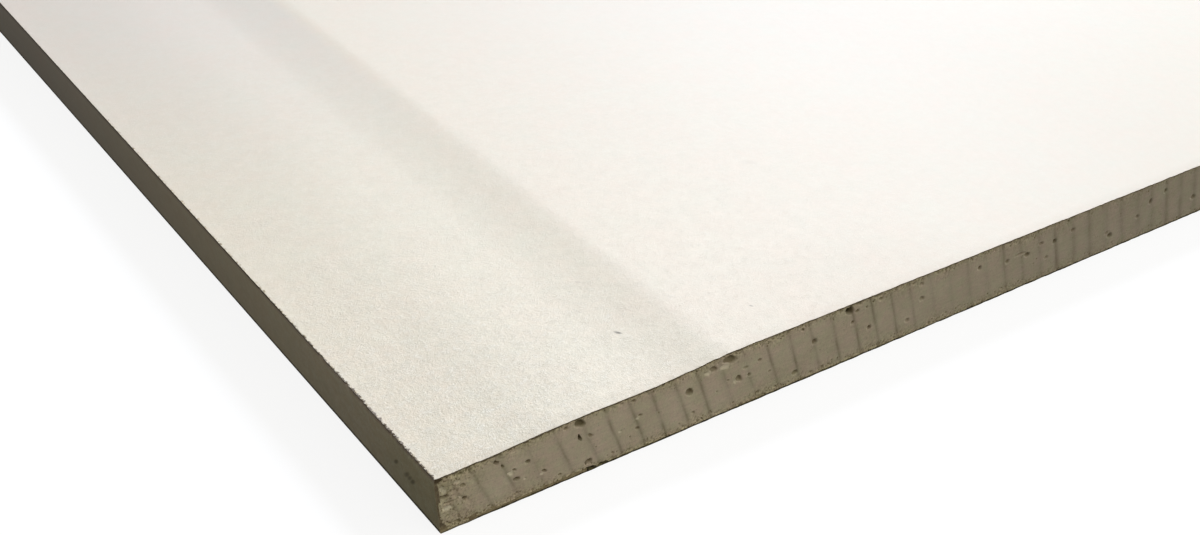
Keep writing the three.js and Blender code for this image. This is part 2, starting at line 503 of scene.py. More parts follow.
# Voids that stand out on the near cut end: distance from the foot of the left long edge, height,
# half width, half height and depth, all in millimetres, and how dark they look inside, as painted
# shade. Where that is negative, it is a shallow chip painted pale, as painted light on its lit
# side.
NAMED_VOIDS = (
    (-0.5, 10.2, 0.55, 0.60, 0.50, 0.56),
    (0.25, 6.75, 0.95, 0.36, 0.80, 0.62),
    (0.30, 8.10, 0.60, 0.80, 0.15, -0.6),
    (0.90, 4.50, 0.95, 0.45, 0.20, -0.9),
    (1.2, 5.50, 0.80, 0.22, 0.30, 0.35),
    (2.6, 8.70, 0.60, 0.40, 0.20, -0.5),
    (2.6, 1.30, 0.60, 0.30, 0.50, 0.56),
    (3.4, 7.70, 0.50, 0.45, 0.40, 0.35),
    (3.95, 4.95, 0.38, 0.46, 0.80, 0.60),
    (3.2, 5.5, 0.30, 0.30, 0.15, -0.6),
    (9.05, 9.25, 0.48, 0.45, 0.90, 0.62),
    (10.2, 8.10, 0.22, 0.45, 0.50, 0.55),
    (11.9, 5.95, 0.60, 0.46, 0.30, -1.0),
    (12.35, 6.40, 0.42, 0.28, 0.40, 0.52),
    (12.9, 4.50, 0.54, 0.52, 0.80, 0.66),
    (14.8, 7.00, 0.45, 0.42, 0.80, 0.58),
    (14.4, 3.95, 0.28, 0.24, 0.15, -0.6),
    (17.85, 3.85, 0.42, 0.38, 0.60, 0.55),
    (17.45, 3.45, 0.42, 0.28, 0.15, -0.9),
    (20.9, 1.80, 0.32, 0.26, 0.40, 0.5),
    (21.3, 10.4, 0.45, 0.38, 0.50, 0.5),
    (23.75, 10.35, 1.10, 0.90, 0.70, 0.66),
    (24.05, 7.50, 0.28, 0.75, 1.60, 1.0),
    (25.9, 7.30, 0.30, 0.30, 0.30, 0.35),
    (26.2, 7.00, 0.38, 0.36, 0.40, 0.5),
    (26.25, 1.95, 0.75, 0.55, 0.80, 0.62),
    (26.7, 0.35, 1.20, 0.40, 1.50, 1.0),
    (29.2, 0.30, 0.90, 0.25, 0.80, 0.62),
    (31.95, 5.40, 0.35, 0.28, 0.15, -0.6),
    (34.0, 10.5, 0.42, 0.34, 0.50, 0.55),
    (35.65, 7.05, 0.50, 0.32, 0.50, 0.5),
    (35.25, 6.60, 0.42, 0.22, 0.20, -0.8),
    (35.3, 4.60, 0.40, 0.34, 0.40, 0.45),
    (45.35, 7.75, 0.72, 0.82, 0.80, 0.50),
    (46.9, 3.00, 0.38, 0.28, 0.25, 0.3),
    (49.0, 9.90, 0.80, 0.40, 0.25, -0.6),
    (49.9, 10.3, 0.80, 0.65, 0.50, 0.45),
    (52.4, 10.00, 1.15, 0.50, 0.30, -0.55),
    (53.5, 10.85, 1.55, 1.05, 0.70, 0.60),
    (53.6, 6.80, 0.28, 0.20, 0.20, 0.35),
    (55.3, 5.90, 0.32, 0.50, 0.20, -0.6),
    (56.0, 6.25, 0.60, 0.74, 0.60, 0.45),
    (57.2, 8.00, 0.65, 0.30, 0.25, 0.25),
    (58.3, 6.20, 0.38, 0.36, 0.60, 0.5),
    (60.2, 8.40, 0.42, 0.34, 0.40, 0.5),
    (60.9, 1.50, 0.42, 0.28, 0.50, 0.52),
    (62.5, 11.75, 0.35, 0.28, 0.30, 0.45),
    (62.9, 5.10, 0.38, 0.22, 0.25, 0.35),
    (64.6, 11.5, 0.32, 0.26, 0.30, 0.45),
    (69.2, 11.2, 0.38, 0.34, 0.30, 0.4),
    (69.2, 2.40, 0.75, 0.60, 0.50, 0.45),
    (72.6, 7.60, 0.60, 0.60, 0.60, 0.5),
    (73.3, 0.95, 0.35, 0.24, 0.40, 0.5),
    (80.2, 11.1, 0.85, 0.95, 1.80, 0.95),
    (80.9, 11.0, 0.35, 0.60, 0.50, 0.5),
    (82.1, 10.5, 0.45, 0.38, 0.40, 0.55),
    (81.45, 8.40, 0.38, 0.32, 0.40, 0.55),
    (86.2, 5.65, 0.55, 0.46, 0.90, 0.62),
    (87.7, 11.1, 0.60, 0.38, 0.40, 0.4),
    (96.4, 3.60, 0.60, 0.60, 0.40, 0.26),
    (98.0, 10.8, 0.55, 0.42, 0.40, 0.28),
    (99.1, 7.30, 0.65, 0.50, 0.40, 0.28),
    (114.0, 9.05, 0.50, 0.55, 0.50, 0.5),
    (122.3, 7.80, 0.60, 0.45, 0.40, 0.4),
    (125.6, 8.30, 1.50, 0.25, 0.25, 0.3),
    (128.1, 7.50, 0.75, 0.50, 0.60, 0.5),
    (131.7, 8.80, 0.60, 0.40, 0.40, 0.35),
    (134.7, 4.80, 0.60, 0.40, 0.30, 0.3),
    (136.1, 8.00, 0.60, 0.55, 0.60, 0.5),
    (141.2, 9.00, 0.70, 0.45, 0.40, 0.4),
    (153.7, 4.60, 0.70, 0.35, 0.30, 0.3),
    (155.0, 3.60, 0.80, 0.60, 0.90, 0.52),
    (163.2, 5.60, 0.60, 0.45, 0.30, 0.25),
    (166.5, 8.20, 0.60, 0.75, 0.50, 0.45),
    (171.0, 9.50, 0.55, 0.60, 0.50, 0.5),
    (183.2, 4.60, 0.80, 0.65, 0.40, 0.4),
)

LEAN_FADE = 2.5 * MM  # distance in which the lean of the long edge falls to 1/e
VOIDS_PER_MM = 1.6  # along a cut end
SMALLEST_VOID = 0.14 * MM  # half width


def scattered_voids(seed, left, right, crowded, largest):
    """Random air voids between two places on a cut end, as rows like NAMED_VOIDS in metres.
    The crowded share of them lies along the two papers. Half widths go from the smallest to
    the largest with the sixth power of a random share, so that nearly all are small."""
    rng = np.random.default_rng(seed)
    count = int((right - left) / MM * VOIDS_PER_MM)
    across = rng.uniform(left, right, count)
    spread = rng.uniform(0, 1, count)
    share = np.where(rng.uniform(0, 1, count) < crowded, 0.13 * spread**1.3, spread)
    share = np.where(rng.uniform(0, 1, count) < 0.45, 1 - share, share)
    size = SMALLEST_VOID + (largest - SMALLEST_VOID) * rng.uniform(0, 1, count) ** 6
    squash = rng.uniform(0.7, 1.2, count)
    deep = size * rng.uniform(0.8, 1.6, count)
    height = share * THICKNESS * 0.93 + 0.4 * MM
    dark = rng.uniform(0.3, 0.9, count)
    return np.stack((across, height, size, size * squash, deep, dark), axis=-1)


def saw_strokes(seed, named):
    """Places, strengths, facet tones and facet roughnesses of the saw's strokes along a whole
    cut end: two faint ones before its start, the named ones, and then one for each pitch, with
    a little scatter."""
    rng = np.random.default_rng(seed)
    places = np.array([-2 * SAW_PITCH, -SAW_PITCH] + [place * MM for place, _ in named])
    strengths = np.array([0.3, 0.3] + [strength for _, strength in named])
    count = int((SHEET_WIDTH - places[-1]) / SAW_PITCH) + 3
    scatter = rng.uniform(-0.08, 0.08, count)
    more = places[-1] + SAW_PITCH * (np.arange(1, count + 1) + scatter)
    places = np.concatenate((places, more))
    strengths = np.concatenate((strengths, rng.uniform(0.2, 0.9, count)))
    return places, strengths, *rng.uniform(0, 1, (2, len(places)))


def saw_marks(across, z, distant, marks, seed):
    """The saw's marks at each point. A mark is a slanted groove, the sum of a broad and a
    narrow bell across it, and it wavers and fades a little. Between two marks lies a facet.
    Gives back the groove's strength, the share of the way across the facet, and the facet's
    own tone and roughness."""
    places, strengths, tones, roughnesses = saw_strokes(seed + 3, marks)
    straight = across - SAW_SLANT * (HALF_THICKNESS - z)
    straight = straight + 0.16 * MM * layered_noise(across, z, 6 * MM, seed, 2)
    after = np.clip(np.searchsorted(places, straight), 1, len(places) - 1)
    share = (straight - places[after - 1]) / (places[after] - places[after - 1])
    nearest = np.where(share < 0.5, after - 1, after)
    away = straight - places[nearest]
    faint = 0.8 + 0.45 * smooth_noise(nearest * 9 * MM, z, 2.4 * MM, seed + 6)
    broad = bell(away - 0.25 * MM * distant, (0.45 + 0.35 * distant) * MM)
    profile = 0.65 * broad + 0.35 * bell(away, 0.16 * MM)
    return strengths[nearest] * faint * profile, share, tones[after - 1], roughnesses[after - 1]


def crumbling(across, z, top, foot, distant, roughness, seed):
    """Crumbled gypsum at each point. It is coarse along the two papers, by an exponential of
    the distance to them, at the sheet's corners, and in patches on rough facets. Gives back
    how coarse it is, from 0 to 1, how deep it has crumbled, in millimetres, the lumps that
    are left at the corners, and the small pits."""
    near_paper = np.minimum(top - z, z - foot)
    patchy = 0.9 + 0.7 * layered_noise(across, 0, 4 * MM, seed + 17, 2)
    rim = np.exp(-near_paper / (0.85 * MM * patchy)) * (1 - 0.6 * distant)
    inset = np.minimum(across, 2 * FOOT_X - across)
    corner = 0.45 * ease(1 - (inset - 1 * MM) / (7 * MM))
    patches = ease(0.5 + layered_noise(across, z, 5 * MM, seed + 19, 2))
    coarse = np.clip(rim + corner + 0.12 * roughness * patches, 0, 1)

    grain = (0.012 + 0.05 * coarse) * layered_noise(across, z, 0.8 * MM, seed, 3)
    roll = 0.04 * layered_noise(across, z, 7 * MM, seed + 5, 2)
    along, against = across + z, 0.45 * (across - z)
    lumps = 1.6 * corner * layered_noise(along, against, 2.2 * MM, seed + 21, 3)
    crumble = np.clip(layered_noise(across, z, 0.6 * MM, seed + 9, 3) + 0.05, 0, 1)
    pits = np.clip(layered_noise(across, z, 0.5 * MM, seed + 31, 2) - 0.27, 0, 1) * coarse
    sunk = 1 - bell(near_paper, 0.3 * MM)
    depth = 0.07 + grain + roll + (0.4 * rim * crumble + 0.6 * pits) * sunk + 0.3 * lumps
    return coarse, depth, lumps, pits


def void_bowls(across, z, voids, shade, seed):
    """Cuts the voids into a cut end. A void is an uneven bowl of depth (1 - r^2)^0.6, slanted like
    the saw's marks. Gives back how deep the bowls are and the painted shade with theirs in it,
    where a negative shade is painted light: the darkest or palest one wins."""
    hollow = np.zeros_like(across)
    lowest, highest = across.min(axis=0), across.max(axis=0)
    for middle, height, half_width, half_height, deep, dark in voids:
        reach = 1.5 * half_width + 1.3 * SAW_SLANT * half_height
        first = np.searchsorted(highest, middle - reach)
        last = np.searchsorted(lowest, middle + reach)
        window = np.s_[:, first:last]
        up = z[window] - height
        u = (across[window] - middle + SAW_SLANT * up) / half_width
        v = up / half_height
        uneven = 0.25 * smooth_noise(across[window], z[window], 0.8 * half_width, seed + 13)
        inside = np.clip(1 - (np.hypot(u, v) + uneven) ** 2, 0, 1)
        hollow[window] = np.maximum(hollow[window], deep * inside**0.6)
        # Painted shade inside the bowl, darkest under its upper right rim; a negative dark paints
        # light on a chip
        mark = dark * np.clip(inside * (2.4 + 0.5 * u + 0.5 * v), 0, 1)
        shade[window] = np.where(np.abs(mark) > np.abs(shade[window]), mark, shade[window])
    return hollow, shade


def cut_relief(across, z, top, foot, voids, marks, seed):
    """How deep the cut end lies inside the cutting plane: crumbled gypsum, saw grooves, facets that
    slope a little, and voids. Away from the corner, from 100 to 160 mm on, the marks are broader
    and the rims firmer. Gives back the depth, and the looks by name: void and pit shade,
    coarseness, groove, and a tone that takes each facet's own tone and the lumps and adds painted
    shade, which arches over each facet as share (1 - share) does."""
    distant = ease((across - 100 * MM) / (60 * MM))
    groove, share, facet_tone, roughness = saw_marks(across, z, distant, marks, seed)
    coarse, crumbled, lumps, pits = crumbling(across, z, top, foot, distant, roughness, seed)
    depth = np.maximum(crumbled + 0.05 * groove + 0.02 * (1 - share), 0) * MM
    # Painted shade that darkens each facet towards its marks
    painted_facet_shade = (2 + 1.2 * distant) * (share * (1 - share) - 1 / 6)
    tone = 0.12 * (2 * facet_tone - 1) + painted_facet_shade + 0.7 * lumps
    # Painted shade in the small pits starts the shade, and the voids add theirs
    hollow, shade = void_bowls(across, z, voids, np.minimum(1.7 * pits, 0.6), seed)
    return depth + hollow, {"shade": shade, "coarse": coarse, "groove": groove, "tone": tone}


def core_block(name, end, span, column_pitch, row_count, voids, marks, seed):
    """Part of the core from the sheet's middle to one cut end, between two distances from the
    left long edge. The cut end is a grid of columns and rows whose points are pushed inwards
    by the relief, and whose columns follow the lean of the long edge by an exponential of the
    distance to it. The other faces are plain."""
    left, right = span
    columns = np.linspace(left, right, round((right - left) / column_pitch) + 1)
    rows = np.linspace(0, 1, row_count)[:, None]
    inset = np.minimum(columns, SHEET_WIDTH - columns)
    low = pressed(columns - HALF_WIDTH, end * HALF_LENGTH)
    top = THICKNESS - FACE_PAPER - taper_drop(inset) - low
    foot = np.where(inset < FLANGE_WIDTH, flange_z(inset, FACE_PAPER), BACK_PAPER)
    z = foot + rows * (top - foot)
    side = np.where(columns < HALF_WIDTH, 1, -1)
    pull = (HALF_WIDTH - long_edge_x(z, FACE_PAPER)) * np.exp(-inset / LEAN_FADE)
    x = columns + side * pull - HALF_WIDTH
    relief, looks = cut_relief(x + FOOT_X, z, top, foot, voids, marks, seed)
    front = np.stack((x, end * (HALF_LENGTH - relief), z), axis=-1)
    z_back = z[[0, -1]] + [0 * low, low]
    back = np.stack((x[[0, -1]], np.zeros_like(z_back), z_back), axis=-1)
    vertices = np.concatenate((front.reshape(-1, 3), back.reshape(-1, 3)))
    index = np.arange(z.size).reshape(z.shape)
    behind = z.size + np.arange(2 * len(columns)).reshape(2, -1)
    faces = [
        grid_faces(index),
        grid_faces(behind)[:, ::-1],
        grid_faces(np.stack((behind[0], index[0]))),
        grid_faces(np.stack((index[-1], behind[1]))),
        np.concatenate((index[::-1, 0], behind[:, 0]))[None],
        np.concatenate((index[:, -1], behind[::-1, -1]))[None],
    ]
    piece = solid_from(name, vertices, faces, [gypsum_finish], sharp_angle=60)
    for label, values in looks.items():
        padded = np.zeros(len(vertices))
        padded[: z.size] = values.reshape(-1)
        set_attribute(piece, label, padded)
    return piece


# ---- Shader helpers -------------------------------------------------------------------------


class Nodes:
    """Short hand for wiring a node tree. Wherever a value goes in, it may be a plain one or
    another node's output."""

    def __init__(self, tree):
        self.tree = tree

    def put(self, socket, value):
        """Links an output to the socket or sets its plain value. A colour of three is opaque."""
        if isinstance(value, bpy.types.NodeSocket):
            self.tree.links.new(value, socket)
        elif socket.type == "RGBA":
            socket.default_value = (*value, 1)
        else:
            socket.default_value = value

    def add(self, kind, inputs=None, **settings):
        """Makes a node of this kind with these inputs and settings."""
        node = self.tree.nodes.new(kind)
        for key, value in settings.items():
            setattr(node, key, value)
        for key, value in (inputs or {}).items():
            self.put(node.inputs[key], value)
        return node

    def math(self, operation, a, b=0.0):
        """One step of arithmetic."""
        return self.add("ShaderNodeMath", {0: a, 1: b}, operation=operation).outputs[0]

    def times(self, first, *others):
        """The product of two or more values."""
        for other in others:
            first = self.math("MULTIPLY", first, other)
        return first

    def span(self, value, low, high, to_low=0.0, to_high=1.0):
        """Maps low..high to to_low..to_high and holds the result there."""
        names = ("Value", "From Min", "From Max", "To Min", "To Max")
        inputs = dict(zip(names, (value, low, high, to_low, to_high)))
        return self.add("ShaderNodeMapRange", inputs).outputs["Result"]

    def mix(self, share, a, b, blend="MIX"):
        """A colour between a and b, or a blended with b, by this share."""
        inputs = {0: share, 6: a, 7: b}
        return self.add("ShaderNodeMix", inputs, data_type="RGBA", blend_type=blend).outputs[2]

    def tint(self, tone, share, high, low=(1, 1, 1)):
        """The tone times a colour that goes from low to high with the share."""
        return self.mix(1.0, tone, self.mix(share, low, high), "MULTIPLY")

    def noise(self, vector, scale, detail=2.0, roughness=0.5, distortion=0.0):
        """Cloudy noise around a half, with scale cells a metre."""
        names = ("Vector", "Scale", "Detail", "Roughness", "Distortion")
        inputs = dict(zip(names, (vector, scale, detail, roughness, distortion)))
        return self.add("ShaderNodeTexNoise", inputs).outputs["Fac"]

    def turned(self, vector, rotation, scale):
        """A place turned and scaled, for a pattern that is stretched in a slanting direction."""
        inputs = {"Vector": vector, "Rotation": rotation, "Scale": scale}
        return self.add("ShaderNodeMapping", inputs).outputs["Vector"]

    def axes(self, vector):
        """The X, Y and Z of a place."""
        return self.add("ShaderNodeSeparateXYZ", {0: vector}).outputs

    def attribute(self, label):
        """The number that each vertex of the piece has under this name."""
        return self.add("ShaderNodeAttribute", attribute_name=label).outputs["Fac"]

    def blot(self, vector, centre, half_size, rotation=(0, 0, 0)):
        """A mask that is 1 at the middle of an ellipsoid and falls to 0 at its surface."""
        inputs = {"Vector": vector, "Location": centre, "Rotation": rotation, "Scale": half_size}
        local = self.add("ShaderNodeMapping", inputs, vector_type="TEXTURE").outputs["Vector"]
        radius = self.add("ShaderNodeVectorMath", {0: local}, operation="LENGTH").outputs["Value"]
        return self.span(radius, 1.0, 0.4)

    def group(self, tree, inputs):
        """The outputs of a shared effect with these inputs."""
        return self.add("ShaderNodeGroup", inputs, node_tree=tree).outputs

    def for_camera(self, shown, otherwise):
        """A shader that the camera sees as shown and that meets all other light otherwise."""
        path = self.add("ShaderNodeLightPath").outputs["Is Camera Ray"]
        return self.add("ShaderNodeMixShader", {0: path, 1: otherwise, 2: shown}).outputs[0]


def new_group(name, inputs, outputs):
    """An empty shader node group with named sockets: (name, kind, default) in, name out."""
    tree = bpy.data.node_groups.new(name, "ShaderNodeTree")
    for label, kind, default in inputs:
        socket = tree.interface.new_socket(label, in_out="INPUT", socket_type=kind)
        if default is not None:
            socket.default_value = default
    for label in outputs:
        tree.interface.new_socket(label, in_out="OUTPUT", socket_type="NodeSocketFloat")
    source, sink = tree.nodes.new("NodeGroupInput"), tree.nodes.new("NodeGroupOutput")
    return tree, Nodes(tree), source.outputs, sink.inputs


def new_material(name):
    """A material with a Principled BSDF, with its node helper and object coordinates."""
    material = bpy.data.materials.new(name)
    material.use_nodes = True
    nodes = Nodes(material.node_tree)
    shader = material.node_tree.nodes["Principled BSDF"]
    place = nodes.add("ShaderNodeTexCoord").outputs["Object"]
    return material, nodes, shader, place


def set_finish(nodes, shader, tone, height, bump, roughness, specular):
    """Wires the tone and a bump of this strength and distance into the shader, and sets its
    plain roughness and specular level."""
    strength, distance = bump
    bumped = nodes.add(
        "ShaderNodeBump", {"Height": height, "Strength": strength, "Distance": distance}
    )
    nodes.put(shader.inputs["Base Color"], tone)
    nodes.put(shader.inputs["Normal"], bumped.outputs["Normal"])
    shader.inputs["Roughness"].default_value = roughness
    shader.inputs["Specular IOR Level"].default_value = specular


# ---- Shared effects -------------------------------------------------------------------------


def fibre_group():
    """Paper fibres: thin ridges of noise stretched along several directions, the strongest of
    which wins, clouds of denser and thinner pulp, fine mottle, and slow changes of hue."""
    tree, nodes, source, sink = new_group(
        "paper_fibres",
        [("Vector", "NodeSocketVector", None)],
        ("Fibres", "Clouds", "Mottle", "Hue"),
    )
    vector = source["Vector"]
    strongest = 0.0
    for angle in (0.15, 0.95, 1.75, 2.55):
        stretched = nodes.turned(vector, (0, 0, angle), (700, 2600, 1200))
        value = nodes.noise(stretched, 1.0, 1.0, 0.5, 0.8)
        ridge = nodes.math("ABSOLUTE", nodes.math("SUBTRACT", value, 0.5))
        thread = nodes.span(ridge, 0.0, 0.05, 1.0, 0.0)
        strongest = nodes.math("MAXIMUM", strongest, thread)
    patch = nodes.noise(vector, 700, 2.0, 0.6)
    nodes.put(sink["Fibres"], nodes.times(strongest, nodes.span(patch, 0.4, 0.62)))
    clouds = nodes.noise(vector, 380, 5.0, 0.72, 0.3)
    nodes.put(sink["Clouds"], nodes.span(clouds, 0.3, 0.7))
    mottle = nodes.noise(vector, 1700, 2.0, 0.65, 1.2)
    nodes.put(sink["Mottle"], nodes.span(mottle, 0.32, 0.68))
    hue = nodes.noise(vector, 130, 4.0, 0.75)
    nodes.put(sink["Hue"], nodes.span(hue, 0.32, 0.68))
    return tree


def speck_group():
    """Scattered specks: a cell pattern where a share of the cells holds one small round dot."""
    tree, nodes, source, sink = new_group(
        "specks",
        [
            ("Vector", "NodeSocketVector", None),
            ("Scale", "NodeSocketFloat", 100.0),
            ("Share", "NodeSocketFloat", 0.2),
            ("Radius", "NodeSocketFloat", 0.1),
        ],
        ("Mask",),
    )
    cells = nodes.add(
        "ShaderNodeTexVoronoi", {"Vector": source["Vector"], "Scale": source["Scale"]}
    ).outputs
    bent = nodes.noise(source["Vector"], 2600, 1.0)
    radius = nodes.times(source["Radius"], nodes.span(bent, 0.3, 0.7, 0.6, 1.4))
    dot = nodes.math("LESS_THAN", cells["Distance"], radius)
    lottery = nodes.add("ShaderNodeSeparateColor", {"Color": cells["Color"]}).outputs[0]
    chosen = nodes.math("LESS_THAN", lottery, source["Share"])
    nodes.put(sink["Mask"], nodes.times(dot, chosen))
    return tree


FIBRES = fibre_group()
SPECKS = speck_group()


# ---- Face paper's finish --------------------------------------------------------------------

WARM_IVORY, COOL_IVORY = (0.811, 0.708, 0.561), (0.787, 0.723, 0.575)
PLAIN_IVORY = (0.766, 0.708, 0.603)  # far from the near left corner
PALE_FIBRE = (0.90, 0.87, 0.79)
FACE_DIRT = (0.22, 0.19, 0.13)
# Colour of the painted contact shadow along the foot of the long edge
FOOT_SHADOW_COLOUR = (0.06, 0.05, 0.035)

# Flecks on the face near the corner: X and Y from the foot of the corner, half length, half
# width, turn in radians, and darkness
FACE_FLECKS = (
    (10.1, 53.8, 0.42, 0.36, 0.0, 0.30),
    (12.9, 42.6, 0.36, 0.30, 0.0, 0.20),
    (41.4, 14.1, 0.85, 0.42, -0.98, 1.0),
    (44.2, 29.0, 0.80, 0.40, -0.98, 0.22),
    (39.4, 22.1, 0.60, 0.35, -0.98, 0.18),
    (64.7, 8.2, 0.50, 0.26, -0.98, 0.60),
    (97.4, 46.3, 2.00, 1.30, -0.60, 0.08),
)

# Dark spots on the left long edge, all tilted alike: Y from the cut end, height, half length, half
# height, and darkness
EDGE_SPOT_TILT = -0.82
EDGE_DARK_SPOTS = (
    (11.25, 5.7, 1.40, 0.45, 0.70),
    (8.2, 5.5, 1.60, 0.50, 0.60),
    (7.4, 5.4, 1.40, 0.45, 0.60),
    (6.6, 5.3, 1.50, 0.50, 0.75),
)


class PaperSpot:
    """Where a point of the face paper lies, as values in a material: its place, X and height,
    its distance across from the sheet's middle, and its distances from the near cut end and
    from the near left corner."""

    def __init__(self, nodes, place):
        self.place = place
        self.x, y, self.z = nodes.axes(place)
        self.across = nodes.math("ABSOLUTE", self.x)
        self.from_cut = nodes.math("ADD", y, HALF_LENGTH)
        corner = {0: place, 1: (-FOOT_X, -HALF_LENGTH, THICKNESS)}
        distance = nodes.add("ShaderNodeVectorMath", corner, operation="DISTANCE")
        self.from_corner = distance.outputs["Value"]


def ivory_pulp(nodes, spot, pulp):
    """Ivory in clouds of two hues with mottle and pale fibres, which are clearest next to the
    near left corner. Gives back the tone and how clear they are."""
    clear = nodes.times(
        nodes.span(spot.from_corner, 15 * MM, 60 * MM, 1.6, 0.6),
        nodes.span(spot.from_corner, 60 * MM, 170 * MM, 1.0, 0.3),
    )
    cloudy = nodes.span(spot.from_corner, 25 * MM, 150 * MM, 1.0, 0.2)
    thin = nodes.times(nodes.span(pulp["Clouds"], 0.0, 1.0, 1.0, 0.0), cloudy)
    tone = nodes.mix(pulp["Hue"], WARM_IVORY, COOL_IVORY)
    tone = nodes.tint(tone, thin, (0.87, 0.87, 0.855))
    mottled = nodes.tint(tone, pulp["Mottle"], (1.025, 1.025, 1.025), (0.975, 0.975, 0.975))
    tone = nodes.mix(clear, tone, mottled)
    return nodes.mix(nodes.times(clear, 0.36, pulp["Fibres"]), tone, PALE_FIBRE), clear


def face_dirt(nodes, spot):
    """How dirty and marked the face paper is: sparse specks, the flecks on its face and the dark
    spots on its long edge."""
    sparse = {"Vector": spot.place, "Scale": 75, "Share": 0.05, "Radius": 0.016}
    dirt = nodes.times(nodes.group(SPECKS, sparse)["Mask"], 0.4)
    for x, y, half_length, half_width, turn, darkness in FACE_FLECKS:
        centre = (x * MM - FOOT_X, y * MM - HALF_LENGTH, THICKNESS)
        half_size = (half_length * MM, half_width * MM, 3 * MM)
        fleck = nodes.blot(spot.place, centre, half_size, (0, 0, turn))
        dirt = nodes.math("MAXIMUM", dirt, nodes.times(fleck, darkness))
    for y, z, half_length, half_height, darkness in EDGE_DARK_SPOTS:
        centre = (-HALF_WIDTH, y * MM - HALF_LENGTH, z * MM)
        half_size = (4 * MM, half_length * MM, half_height * MM)
        dark_spot = nodes.blot(spot.place, centre, half_size, (EDGE_SPOT_TILT, 0, 0))
        dirt = nodes.math("MAXIMUM", dirt, nodes.times(dark_spot, darkness))
    return dirt


def face_painted_light_and_stain(nodes, spot, tone, away):
    """Slow changes of colour over the face, mostly painted light: warm near the cut end, cooler
    away from it and inwards from the long edge, and brighter further in. It is also stained and
    darkened at the cut end, and plain ivory in the distance. Gives back the tone and how plain it
    is."""
    # Painted light: warmer near the cut end and cooler away from it, then cooler and brighter
    # inwards
    tone = nodes.tint(tone, away, (0.936, 0.953, 1.04), (0.972, 0.956, 0.935))
    inwards = nodes.span(spot.x, 50 * MM - FOOT_X, 150 * MM - FOOT_X)
    tone = nodes.tint(tone, inwards, (0.96, 0.98, 1.022))
    deep = nodes.span(spot.x, 180 * MM - FOOT_X, 270 * MM - FOOT_X)
    tone = nodes.tint(tone, deep, (1.063, 1.083, 1.098))
    wide = nodes.span(spot.x, 450 * MM - FOOT_X, 750 * MM - FOOT_X)
    wide = nodes.times(wide, nodes.span(spot.from_cut, 80 * MM, 350 * MM))
    plain = nodes.math("MAXIMUM", wide, nodes.span(spot.from_cut, 550 * MM, 1100 * MM))
    tone = nodes.mix(nodes.times(plain, 0.85), tone, PLAIN_IVORY)
    centre = (85 * MM - FOOT_X, 4 * MM - HALF_LENGTH, THICKNESS)
    stain = nodes.blot(spot.place, centre, (34 * MM, 17 * MM, 10 * MM))
    tone = nodes.tint(tone, stain, (0.975, 0.962, 0.95))
    cut_rim = nodes.span(spot.from_cut, 2.5 * MM, 0.0)
    return nodes.tint(tone, cut_rim, (0.94, 0.93, 0.92)), plain


def taper_painted_shade(nodes, spot, tone, away, plain):
    """The taper is darkened by painted shade from its crest outwards. It is darker still on the
    shoulder next to the cut end, as the crease's painted shadow, and along its outermost strip,
    where the slope faces away from the light. Away from the cut end it is darker, and it cools off
    along the sheet, as painted light."""
    crest = HALF_WIDTH - TAPER_WIDTH
    band = nodes.times(
        nodes.span(spot.across, crest + 1 * MM, crest + 3.5 * MM),
        nodes.span(plain, 0.0, 1.0, 1.0, 0.3),
    )
    # Painted shade on the taper: darker and cooler away from the cut end
    taper_shade_tone = nodes.tint(tone, away, (0.93, 0.93, 0.955), (0.993, 1.008, 0.998))
    tone = nodes.mix(band, tone, taper_shade_tone)
    # Painted shadow of the crease on the shoulder next to the cut end
    shoulder = nodes.times(
        band,
        nodes.span(spot.across, crest + 11 * MM, crest + 6 * MM),
        nodes.span(spot.from_cut, 120 * MM, 20 * MM),
    )
    tone = nodes.tint(tone, shoulder, (0.955, 0.94, 0.925))
    cool = nodes.times(band, nodes.span(spot.from_cut, 80 * MM, 150 * MM))
    tone = nodes.tint(tone, cool, (0.968, 0.97, 1.01))
    outermost = nodes.span(spot.across, FOOT_X - 13 * MM, FOOT_X - 3 * MM)
    return nodes.tint(tone, outermost, (0.955, 0.945, 0.93))


